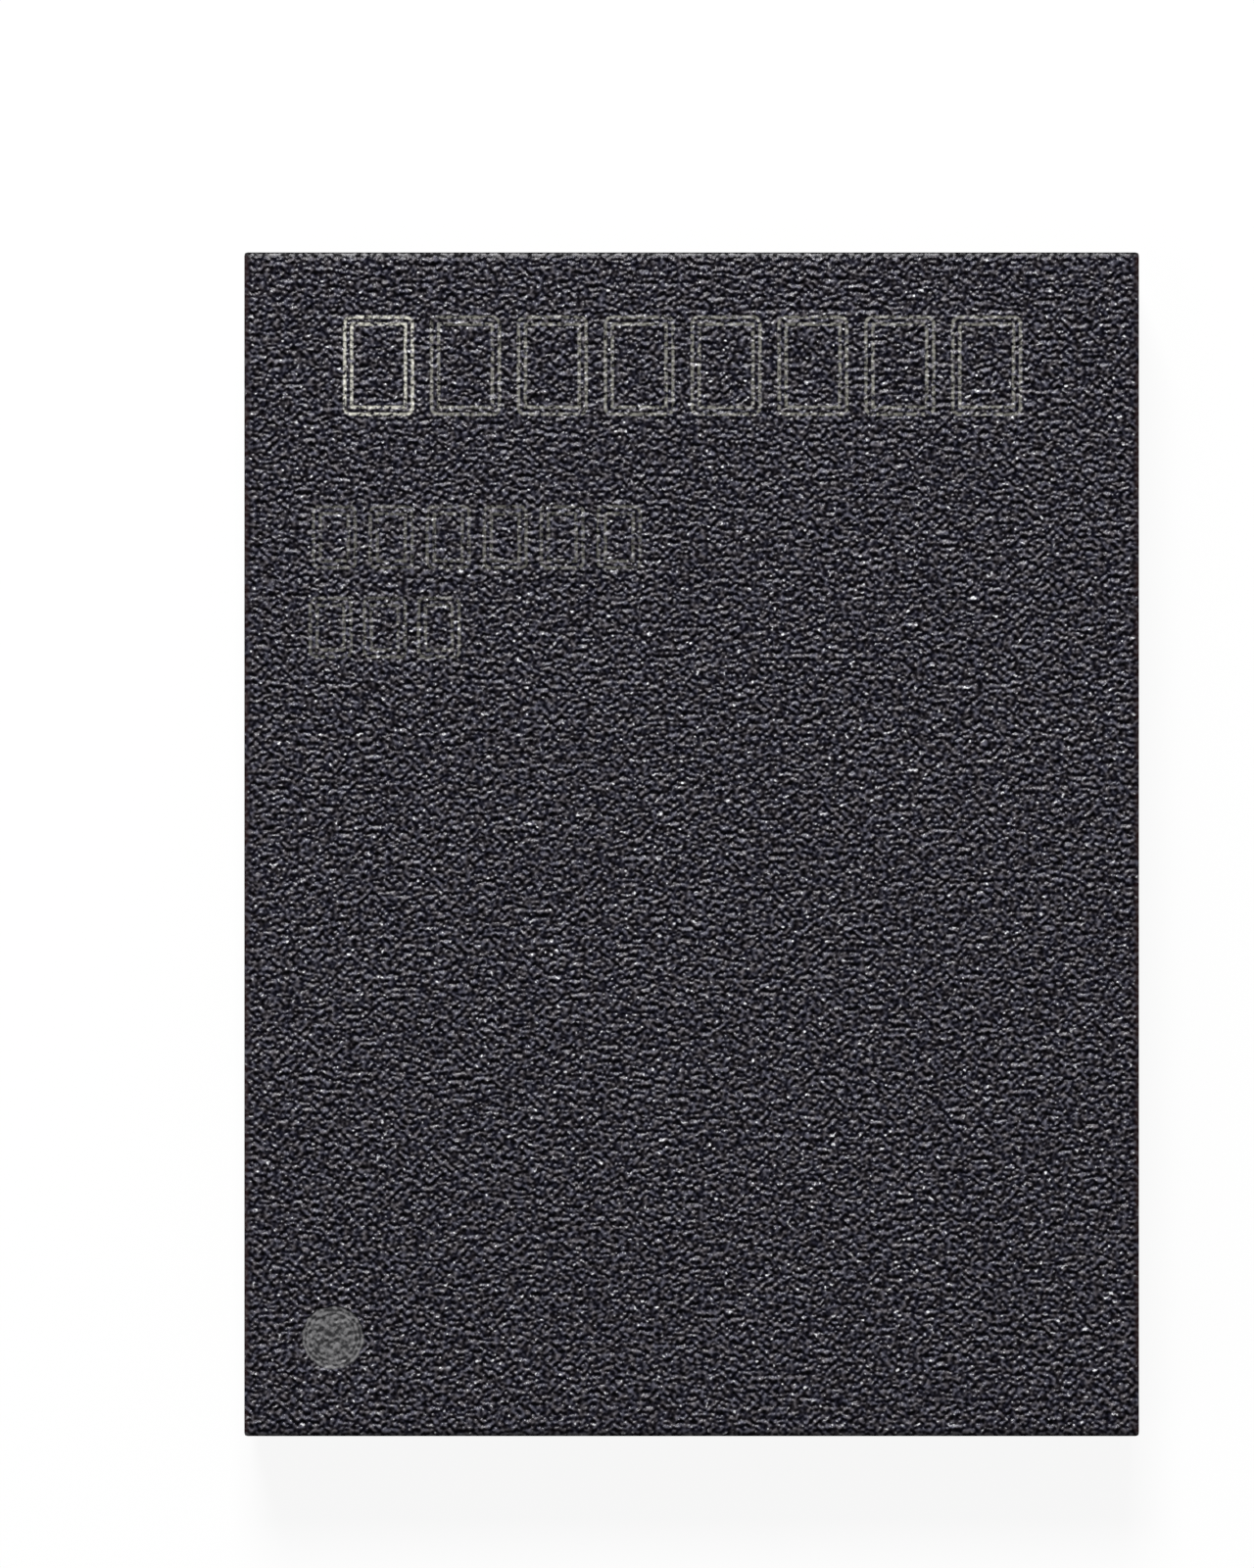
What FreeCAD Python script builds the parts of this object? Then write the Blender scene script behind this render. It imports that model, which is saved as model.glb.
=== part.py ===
"""Radio frequency transceiver chip: a moulded flip chip package that stands on a staggered grid of
solder balls. X is the short side, Y the long side and Z points out of the moulded face. The origin is
under the middle of the package, at the height of the ball tips. Row A and the corner mark are at the
corner of -X and -Y. All sizes are in millimetres.
"""
import FreeCAD, Part
import os
from math import cos, floor, pi, sin, sqrt

# Ball grid: every second place of a square lattice holds a ball, as on a chess board
ball_pitch = 0.40            # between the centres of nearest neighbours, on the diagonal
grid_columns = 27            # lattice columns, half of them filled in each row
grid_rows = 36
edge_margin_x = 0.288        # from the outermost ball centres to the sawn edge
edge_margin_y = 0.295

# One solder ball: a sphere cut flat at its seat on the carrier and at its pressed tip
ball_height = 0.20           # the stand-off of the whole package
ball_radius = 0.135
ball_centre_height = 0.115
ball_sides = 4               # corners of each ring, turned by half a side from ring to ring

# Carrier laminate, from the ball side up
mask_thickness = 0.020       # lacquer over the copper, the same on both faces
outer_foil = 0.018
inner_foil = 0.015
prepreg_thickness = 0.040
core_thickness = 0.060
corner_break = 0.040         # the sawn corners are slightly knocked off

# Lacquer over bare laminate: it sinks where the copper below it is missing
dip_depth = 0.006
dip_inset = 0.012            # the sunk outline is this much smaller than the gap in the copper

# Corner mark: a bare square of copper in a window of the lacquer
mark_side = 0.130
mark_inset = 0.215           # from both edges to its centre

# Moulded body
mould_thickness = 0.450
mould_edge_break = 0.015
dot_radius = 0.280           # round mark sunk into the moulded face at the same corner
dot_depth = 0.012
dot_inset_x = 0.785
dot_inset_y = 0.875

# Chip inside the mould, face down on copper pillars
die_width = 5.20
die_length = 7.00
die_thickness = 0.250
die_gap = 0.040              # from the lacquer to the face of the die
pillar_side = 0.090
pillar_pitch = 0.90
pillar_inset = 0.200         # from the edge of the die to the pillar centres
trench_reach = 0.170         # opening in the lacquer, to each side of the pillar centres
finger_width = 0.130
finger_tail = 0.150          # how far a bond finger runs on below the lacquer

# Plated holes, filled with copper
via_side = 0.080
via_spacing = 2.20           # lattice of the holes that tie the copper layers together
via_edge = 0.90              # kept free of them along the edges

# Gaps in the outer copper that show in the lacquer: column, row, width and length in lattice steps
copper_gaps = (
    (6.2, -0.1, 0.9, 1.0), (7.8, -0.2, 0.9, 0.9), (9.9, -0.1, 0.6, 1.0), (12.0, -0.2, 1.0, 0.5),
    (11.1, 0.7, 0.9, 0.5), (8.9, 0.8, 0.7, 0.6), (7.0, 1.0, 0.7, 0.9), (5.0, 1.0, 0.8, 0.4),
    (21.9, -0.1, 1.1, 1.0), (24.0, -0.1, 1.1, 1.0), (25.0, 1.0, 0.9, 0.8), (22.9, 1.0, 0.5, 0.9),
    (22.2, 2.0, 0.5, 0.9), (20.0, 2.1, 0.7, 0.7), (1.0, 3.1, 1.0, 0.7), (2.0, 4.0, 1.0, 0.9),
    (-0.1, 6.1, 1.0, 1.0), (1.0, 6.9, 0.9, 0.7), (0.9, 9.0, 0.7, 1.0), (0.1, 10.1, 0.6, 0.4),
    (0.9, 11.0, 0.8, 0.8), (0.0, 11.9, 0.7, 0.9), (0.0, 14.0, 0.9, 0.9), (2.0, 14.0, 0.6, 0.8),
    (-0.1, 15.9, 0.8, 0.8), (0.9, 17.0, 0.9, 0.7), (-0.1, 17.9, 0.9, 0.9),
)

# What follows from the sizes above
lattice_step = ball_pitch / sqrt(2)
body_width = (grid_columns - 1) * lattice_step + 2 * edge_margin_x
body_length = (grid_rows - 1) * lattice_step + 2 * edge_margin_y

bottom_copper_z = ball_height + mask_thickness
lower_prepreg_z = bottom_copper_z + outer_foil
lower_plane_z = lower_prepreg_z + prepreg_thickness
core_z = lower_plane_z + inner_foil
upper_plane_z = core_z + core_thickness
upper_prepreg_z = upper_plane_z + inner_foil
top_copper_z = upper_prepreg_z + prepreg_thickness
top_mask_z = top_copper_z + outer_foil
mould_z = top_mask_z + mask_thickness
die_z = mould_z + die_gap
mould_top_z = mould_z + mould_thickness


def lattice_place(column, row):
    """Centre of a place in the ball lattice, counted from row A at the marked corner."""
    x = (column - (grid_columns - 1) / 2) * lattice_step
    y = (row - (grid_rows - 1) / 2) * lattice_step
    return x, y


def row_letters(row):
    """Letters of a ball row, counted from nought: one letter first, then two."""
    letters = "ABCDEFGHJKLMNPRTUVWY"
    lead, last = divmod(row, len(letters))
    return letters[lead - 1] + letters[last] if lead else letters[last]


def block(x, y, z, width, length, height):
    """Rectangular block on its base centre."""
    corner = FreeCAD.Vector(x - width / 2, y - length / 2, z)
    return Part.makeBox(width, length, height, corner)


def sawn_layer(z, thickness):
    """One layer over the whole package, with its four upright edges knocked off."""
    layer = block(0, 0, z, body_width, body_length, thickness)
    upright = [edge for edge in layer.Edges if abs(edge.tangentAt(edge.FirstParameter).z) > 0.5]
    return layer.makeChamfer(corner_break, upright)


def ring(x, y, z, turn):
    """Corner points of one ring round the ball, where its sphere has this height."""
    radius = sqrt(ball_radius ** 2 - (z - ball_centre_height) ** 2)
    angles = [turn + 2 * pi * side / ball_sides for side in range(ball_sides)]
    return [FreeCAD.Vector(x + radius * cos(a), y + radius * sin(a), z) for a in angles]


def facet(*points):
    """Flat face between three or more points."""
    return Part.Face(Part.makePolygon(list(points) + [points[0]]))


def ball(x, y):
    """Solder ball as a cut gem: rings turned against each other and joined by triangles."""
    half_side = pi / ball_sides
    seat_ring = ring(x, y, ball_height, half_side)
    belly_ring = ring(x, y, ball_centre_height, 0)
    tip_ring = ring(x, y, 0, half_side)
    faces = [facet(*seat_ring), facet(*tip_ring)]
    for side in range(ball_sides):
        after = (side + 1) % ball_sides
        belly, next_belly = belly_ring[side], belly_ring[after]
        for flat_ring in (seat_ring, tip_ring):
            faces.append(facet(flat_ring[side], next_belly, belly))
            faces.append(facet(flat_ring[side], flat_ring[after], next_belly))
    solid = Part.makeSolid(Part.makeShell(faces))
    return solid if solid.Volume > 0 else solid.reversed()


def ball_row(row):
    """All balls of one row: rows start in turn at the second and at the first column."""
    first = (row + 1) % 2
    return Part.makeCompound([ball(*lattice_place(c, row)) for c in range(first, grid_columns, 2)])


def gap_blocks(z, height, inset):
    """Blocks in the outline of the copper gaps, made smaller by the inset all round."""
    blocks = []
    for column, row, width, length in copper_gaps:
        x, y = lattice_place(column, row)
        size_x = width * lattice_step - 2 * inset
        size_y = length * lattice_step - 2 * inset
        blocks.append(block(x, y, z, size_x, size_y, height))
    return blocks


def via_places():
    """Lattice of tie holes that keeps clear of the package's edges."""
    count_x = floor((body_width / 2 - via_edge) / via_spacing)
    count_y = floor((body_length / 2 - via_edge) / via_spacing)
    return [(i * via_spacing, j * via_spacing)
            for i in range(-count_x, count_x + 1) for j in range(-count_y, count_y + 1)]


def vias(z, height):
    """Copper plugs through one layer at every tie hole."""
    return [block(x, y, z, via_side, via_side, height) for x, y in via_places()]


def pillar_places():
    """Pillar centres along the four edges of the die, each with its outward direction."""
    reach_x = die_width / 2 - pillar_inset
    reach_y = die_length / 2 - pillar_inset
    places = []
    for reach, along, flip in ((reach_x, reach_y, False), (reach_y, reach_x, True)):
        count = floor((2 * along - pillar_pitch) / pillar_pitch)
        for i in range(count + 1):
            step = (i - count / 2) * pillar_pitch
            for side in (-1, 1):
                place = (step, side * reach, 0, side) if flip else (side * reach, step, side, 0)
                places.append(place)
    return places


def finger(x, y, out_x, out_y):
    """Bond finger from below its pillar to a tail under the lacquer outside the trench."""
    inner = pillar_side
    length = inner + trench_reach + finger_tail
    middle = (length / 2 - inner)
    size_x = length if out_x else finger_width
    size_y = length if out_y else finger_width
    return block(x + out_x * middle, y + out_y * middle, top_copper_z, size_x, size_y, outer_foil)


def finger_via(x, y, out_x, out_y):
    """Copper plug from a finger's tail down to the plane below."""
    reach = trench_reach + finger_tail / 2
    return block(x + out_x * reach, y + out_y * reach, upper_prepreg_z, via_side, via_side,
                 prepreg_thickness)


def trench(z, height):
    """Frame shaped opening in the upper lacquer, below the rows of pillars."""
    middle_x = die_width - 2 * pillar_inset
    middle_y = die_length - 2 * pillar_inset
    outer = block(0, 0, z, middle_x + 2 * trench_reach, middle_y + 2 * trench_reach, height)
    inner = block(0, 0, z, middle_x - 2 * trench_reach, middle_y - 2 * trench_reach, height)
    return outer.cut(inner)


def bottom_mask():
    """Lacquer on the ball side: it fills the copper gaps, dips over them and opens at the mark."""
    layer = sawn_layer(ball_height, mask_thickness)
    filled = layer.fuse(gap_blocks(bottom_copper_z, outer_foil, 0)).removeSplitter()
    mark_x = mark_inset - body_width / 2
    mark_y = mark_inset - body_length / 2
    window = block(mark_x, mark_y, ball_height, mark_side, mark_side, mask_thickness)
    return filled.cut(gap_blocks(ball_height, dip_depth, dip_inset) + [window])


def mould(die, pillars, fingers):
    """Moulding compound round the die and its pillars, down into the trench."""
    body = sawn_layer(mould_z, mould_thickness)
    rim = [edge for edge in body.Edges if min(v.Z for v in edge.Vertexes) > mould_z + mould_thickness / 2]
    body = body.makeChamfer(mould_edge_break, rim)
    dot_base = FreeCAD.Vector(dot_inset_x - body_width / 2, dot_inset_y - body_length / 2,
                              mould_top_z - dot_depth)
    dot = Part.makeCylinder(dot_radius, dot_depth, dot_base)
    filling = trench(top_copper_z, outer_foil + mask_thickness)
    return body.fuse(filling).removeSplitter().cut([die, dot] + pillars + fingers)


places = pillar_places()
die = block(0, 0, die_z, die_width, die_length, die_thickness)
pillars = [block(x, y, top_mask_z, pillar_side, pillar_side, die_z - top_mask_z)
           for x, y, _, _ in places]
fingers = [finger(*place) for place in places]
finger_vias = [finger_via(*place) for place in places]
tie_vias = vias(lower_prepreg_z, prepreg_thickness)
core_vias = vias(core_z, core_thickness)

nodes = {
    "mould_cap": mould(die, pillars, fingers),
    "silicon_die": die,
    "die_pillars": Part.makeCompound(pillars),
    "bond_fingers": Part.makeCompound(fingers),
    "top_solder_mask": sawn_layer(top_copper_z, outer_foil + mask_thickness).cut(
        [trench(top_copper_z, outer_foil + mask_thickness)] + fingers),
    "upper_prepreg": sawn_layer(upper_prepreg_z, prepreg_thickness).cut(finger_vias),
    "finger_vias": Part.makeCompound(finger_vias),
    "upper_copper_plane": sawn_layer(upper_plane_z, inner_foil),
    "laminate_core": sawn_layer(core_z, core_thickness).cut(core_vias),
    "core_vias": Part.makeCompound(core_vias),
    "lower_copper_plane": sawn_layer(lower_plane_z, inner_foil),
    "lower_prepreg": sawn_layer(lower_prepreg_z, prepreg_thickness).cut(tie_vias),
    "lower_vias": Part.makeCompound(tie_vias),
    "bottom_copper": sawn_layer(bottom_copper_z, outer_foil).cut(
        gap_blocks(bottom_copper_z, outer_foil, 0)),
    "bottom_solder_mask": bottom_mask(),
}
for row in range(grid_rows):
    nodes["balls_row_" + row_letters(row)] = ball_row(row)

os.makedirs("parts", exist_ok=True)
for name, shape in nodes.items():
    shape.exportStep("parts/" + name + ".step")
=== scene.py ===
"""Looks of a radio frequency transceiver chip: a black moulded package that stands on a staggered
grid of solder balls, with a green lacquered ball side and a sawn laminate edge.

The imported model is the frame. The moulded cap, the lacquer of the ball side and the balls are
modelled again here with their surface detail, and crumbs of dry flux are added. Every other node
keeps its shape and gets a finish.
"""
import logging
import math
import random
from dataclasses import dataclass
from enum import Enum
from functools import reduce
from itertools import product
from typing import Any, Callable, Iterable, Mapping, Sequence, Union

import bmesh
import bpy
from bmesh.types import BMEdge, BMesh, BMFace, BMLayerItem, BMVert
from bpy.types import Material, Mesh, Node, NodeSocket, NodeTree, Object
from mathutils import Matrix, Vector, noise


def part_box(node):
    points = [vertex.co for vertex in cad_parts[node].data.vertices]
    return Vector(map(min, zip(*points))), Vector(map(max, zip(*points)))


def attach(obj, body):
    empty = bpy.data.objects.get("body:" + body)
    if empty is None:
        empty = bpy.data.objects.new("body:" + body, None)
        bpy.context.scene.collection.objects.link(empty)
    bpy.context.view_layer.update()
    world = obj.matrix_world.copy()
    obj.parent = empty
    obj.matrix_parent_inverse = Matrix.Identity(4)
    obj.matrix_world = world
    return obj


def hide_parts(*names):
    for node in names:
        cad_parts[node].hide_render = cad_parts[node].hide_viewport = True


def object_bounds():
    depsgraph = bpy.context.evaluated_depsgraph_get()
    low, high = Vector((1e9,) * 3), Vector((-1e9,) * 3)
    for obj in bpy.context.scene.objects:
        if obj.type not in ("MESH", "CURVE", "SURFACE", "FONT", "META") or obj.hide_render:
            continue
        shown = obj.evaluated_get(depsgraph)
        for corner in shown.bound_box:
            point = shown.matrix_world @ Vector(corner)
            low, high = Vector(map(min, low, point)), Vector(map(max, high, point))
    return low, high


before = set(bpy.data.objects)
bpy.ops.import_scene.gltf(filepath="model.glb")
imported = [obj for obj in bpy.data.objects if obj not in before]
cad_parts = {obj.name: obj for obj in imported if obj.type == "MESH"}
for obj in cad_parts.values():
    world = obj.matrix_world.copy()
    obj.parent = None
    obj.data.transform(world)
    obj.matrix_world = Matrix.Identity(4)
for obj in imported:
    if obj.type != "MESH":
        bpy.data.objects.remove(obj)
cad_low, cad_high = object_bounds()

LOG = logging.getLogger("chip")
MM = 0.001
BODY = "root"
WHITE = (1.0, 1.0, 1.0)
CORNER_BREAK = 0.040 * MM

# Distances in metres within which vertices are merged, or lie on the plane of a cut
MERGED = 1e-7
ON_PLANE = 1e-9

Colour = tuple[float, float, float]
Place = tuple[float, float, float]
Spot = tuple[float, float]
Span = tuple[float, float]


class Slot(Enum):
    """Names of material slots of the record; nothing in this script gives them to the pieces."""

    MOULD = "mould"
    LACQUER = "solder_mask"
    SOLDER = "solder"


# Shader maths


def operator(operation: str) -> Callable[..., "Wire"]:
    """Makes the method that adds one Math node for a wire and what it is joined with."""
    return lambda wire, *others: wire.graph.math(operation, wire, *others)


class Wire:
    """An output of a node that takes part in sums, such as 1 - mask * 0.5."""

    def __init__(self, graph: "Graph", socket: NodeSocket) -> None:
        """Keeps the socket and the graph that it belongs to."""
        self.graph = graph
        self.socket = socket

    __add__ = __radd__ = operator("ADD")
    __sub__ = operator("SUBTRACT")
    __mul__ = operator("MULTIPLY")
    __truediv__ = operator("DIVIDE")
    __abs__ = operator("ABSOLUTE")
    least = operator("MINIMUM")
    most = operator("MAXIMUM")

    def __rsub__(self, number: float) -> "Wire":
        """Difference from a number."""
        return self.graph.math("SUBTRACT", number, self)

    def rise(self, low: float, high: float) -> "Wire":
        """Goes smoothly from 0 to 1.

        Args:
            low: Value at and below which the result is 0.
            high: Value at and above which the result is 1.

        Returns:
            The wire of the result.
        """
        sockets = {"Value": self, "From Min": low, "From Max": high}
        smooth = {"interpolation_type": "SMOOTHSTEP"}
        return self.graph.out(self.graph.add("ShaderNodeMapRange", smooth, sockets), "Result")

    def fall(self, low: float, high: float) -> "Wire":
        """Goes smoothly from 1 at the low value to 0 at the high one."""
        return 1.0 - self.rise(low, high)


Value = Union[Wire, float]
Socket = Union[str, int]


@dataclass(frozen=True)
class Pattern:
    """A soft random pattern: size of a cell in metres, number and weight of finer layers, and shift."""

    size: float
    detail: float = 2.0
    roughness: float = 0.5
    shift: Place = (0.0, 0.0, 0.0)


class Graph:
    """A node tree that is filled in by expressions."""

    def __init__(self, tree: NodeTree) -> None:
        """Empties the tree."""
        self.tree = tree
        self.tree.nodes.clear()

    def add(self, kind: str, settings: Mapping[str, Any] | None = None,
            sockets: Mapping[Socket, Any] | None = None) -> Node:
        """Adds one node.

        Args:
            kind: Type of the node.
            settings: Properties, which are set first.
            sockets: Values or wires by the socket's name or number.

        Returns:
            The new node.
        """
        node = self.tree.nodes.new(kind)
        for name, value in (settings or {}).items():
            setattr(node, name, value)
        for name, value in (sockets or {}).items():
            socket = node.inputs[name]
            if isinstance(value, Wire):
                self.tree.links.new(value.socket, socket)
            elif isinstance(value, tuple) and socket.type == "RGBA":
                socket.default_value = (*value, 1.0)
            else:
                socket.default_value = value
        return node

    def out(self, node: Node, socket: Socket = 0) -> Wire:
        """The wire that leaves a node at a socket."""
        return Wire(self, node.outputs[socket])

    def math(self, operation: str, *terms: Value) -> Wire:
        """One Math node."""
        return self.out(self.add("ShaderNodeMath", {"operation": operation}, dict(enumerate(terms))))

    def vector(self, operation: str, *terms: Any, result: str = "Vector") -> Wire:
        """One Vector Math node, whose result is "Value" where it gives a number."""
        node = self.add("ShaderNodeVectorMath", {"operation": operation}, dict(enumerate(terms)))
        return self.out(node, result)

    def scaled(self, vector: Any, factor: Value) -> Wire:
        """A vector times a number."""
        sockets = {0: vector, "Scale": factor}
        return self.out(self.add("ShaderNodeVectorMath", {"operation": "SCALE"}, sockets))

    def place(self) -> Wire:
        """The point on the object, in metres."""
        return self.out(self.add("ShaderNodeTexCoord"), "Object")

    def axes(self) -> tuple[Wire, Wire, Wire]:
        """The three parts of the point on the object."""
        node = self.add("ShaderNodeSeparateXYZ", sockets={0: self.place()})
        return self.out(node, 0), self.out(node, 1), self.out(node, 2)

    def point(self, x: Value, y: Value, z: Value = 0.0) -> Wire:
        """A vector from its three parts."""
        return self.out(self.add("ShaderNodeCombineXYZ", sockets={0: x, 1: y, 2: z}))

    def length(self, x: Value, y: Value) -> Wire:
        """Length of a flat vector."""
        return self.vector("LENGTH", self.point(x, y), result="Value")

    def attribute(self, name: str) -> Wire:
        """A number that the mesh keeps at its points."""
        return self.out(self.add("ShaderNodeAttribute", {"attribute_name": name}), "Fac")

    def noise(self, pattern: Pattern, place: Wire | None = None) -> Wire:
        """A soft random pattern around 0.5.

        Args:
            pattern: Its size and layers.
            place: Where it is read, by default the point on the object.

        Returns:
            The wire of the pattern.
        """
        sockets = {
            "Vector": self.vector("ADD", place or self.place(), pattern.shift),
            "Scale": 1.0 / pattern.size, "Detail": pattern.detail, "Roughness": pattern.roughness,
        }
        return self.out(self.add("ShaderNodeTexNoise", sockets=sockets), "Fac")

    def cells(self, size: float) -> Wire:
        """Distance to the nearest of many random points, for cells of a size in metres."""
        sockets = {"Vector": self.place(), "Scale": 1.0 / size}
        return self.out(self.add("ShaderNodeTexVoronoi", sockets=sockets), "Distance")

    def mix(self, factor: Value, first: Any, second: Any) -> Wire:
        """First colour where the factor is 0 and second where it is 1."""
        sockets = {0: factor, 6: first, 7: second}
        return self.out(self.add("ShaderNodeMix", {"data_type": "RGBA"}, sockets), 2)

    def ramp(self, factor: Wire, *colours: Colour) -> Wire:
        """Colours at even steps of a factor from 0 to 1.

        Args:
            factor: What chooses the colour.
            colours: Two colours or more.

        Returns:
            The wire of the colour.
        """
        node = self.add("ShaderNodeValToRGB", sockets={0: factor})
        elements = node.color_ramp.elements
        while len(elements) < len(colours):
            elements.new(1.0)
        for index, (element, colour) in enumerate(zip(elements, colours)):
            element.position = index / (len(colours) - 1)
            element.color = (*colour, 1.0)
        return self.out(node)

    def bump(self, height: Wire, depth: float, under: Wire | None = None) -> Wire:
        """A bumpy normal.

        Args:
            height: Height from 0 to 1.
            depth: What a height of 1 stands for, in metres.
            under: Normal of a coarser bump below this one.

        Returns:
            The wire of the normal.
        """
        sockets: dict[Socket, Any] = {"Strength": 1.0, "Distance": depth, "Height": height}
        if under is not None:
            sockets["Normal"] = under
        return self.out(self.add("ShaderNodeBump", sockets=sockets))

    def coated(self, colour: Wire, roughness: Value, normal: Wire, specular: float = 0.5,
               metallic: Value = 0.0) -> Wire:
        """A Principled surface.

        Args:
            colour: Base colour.
            roughness: Roughness of the surface.
            normal: Bumpy normal.
            specular: Strength of the clear reflection.
            metallic: Share of metal.

        Returns:
            The wire of the shader.
        """
        sockets = {"Base Color": colour, "Roughness": roughness, "Normal": normal,
                   "Specular IOR Level": specular, "Metallic": metallic}
        return self.out(self.add("ShaderNodeBsdfPrincipled", sockets=sockets))

    def blend(self, factor: Value, first: Wire, second: Wire) -> Wire:
        """First shader where the factor is 0 and second where it is 1."""
        return self.out(self.add("ShaderNodeMixShader", sockets={0: factor, 1: first, 2: second}))

    def seen(self) -> Wire:
        """Tells what the camera sees from what lights the chip.

        Returns:
            A wire that is 1 for what is seen, mirrored or through glass too, and 0 for light.
        """
        path = self.add("ShaderNodeLightPath")
        kinds = ("Is Camera Ray", "Is Glossy Ray", "Is Transmission Ray")
        return reduce(Wire.most, (self.out(path, kind) for kind in kinds))

    def finish(self, shader: Wire, kind: str = "ShaderNodeOutputMaterial") -> None:
        """Ends the tree in its output."""
        self.add(kind, sockets={"Surface": shader})


# Finishes


@dataclass(frozen=True)
class Finish:
    """A surface that is made of nodes."""

    name: str = "finish"

    def shader(self, graph: Graph) -> Wire:
        """The shader of the surface."""
        raise NotImplementedError

    def material(self) -> Material:
        """Makes the material, once.

        Returns:
            The material of the finish's name.
        """
        found = bpy.data.materials.get(self.name)
        if found is None:
            found = bpy.data.materials.new(self.name)
            found.use_nodes = True
            graph = Graph(found.node_tree)
            graph.finish(self.shader(graph))
        return found


@dataclass(frozen=True)
class OutlinedFinish(Finish):
    """A finish that changes toward the outline of a piece, whose middle is the origin."""

    half_width: float = 1.0
    half_length: float = 1.0

    def inward(self, x: Wire, y: Wire) -> tuple[Wire, Wire]:
        """Distances from the long side and from the short end of the piece."""
        return self.half_width - abs(x), self.half_length - abs(y)


@dataclass(frozen=True)
class MarkRow:
    """A row of plain rounded boxes, scratched into the moulded face by a laser."""

    left: float
    middle: float
    pitch: float
    count: int
    width: float
    height: float
    strength: float
    corner: float = 0.05 * MM
    stroke: float = 0.062 * MM
    line: Span = (0.0063 * MM, 0.021 * MM)
    end_blur: float = 0.001

    def mask(self, graph: Graph, x: Wire, y: Wire) -> Wire:
        """Where the laser scratched.

        Args:
            graph: Graph of the material.
            x: Place across the face in metres.
            y: Place along the face in metres.

        Returns:
            A wire that is the row's strength on its lines and 0 elsewhere.
        """
        across = (x - self.left) / self.pitch
        within = (across - graph.math("FLOOR", across) - 0.5) * self.pitch
        side = abs(within) - (self.width / 2 - self.corner)
        end = abs(y - self.middle) - (self.height / 2 - self.corner)
        outside = graph.length(side.most(0.0), end.most(0.0))
        edge = outside + side.most(end).least(0.0) - self.corner
        lines = abs(abs(edge + self.stroke / 2) - self.stroke / 2)
        begun = across.rise(0.0, self.end_blur)
        in_row = begun * across.fall(self.count - self.end_blur, float(self.count))
        return lines.fall(*self.line) * in_row * self.strength


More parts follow.
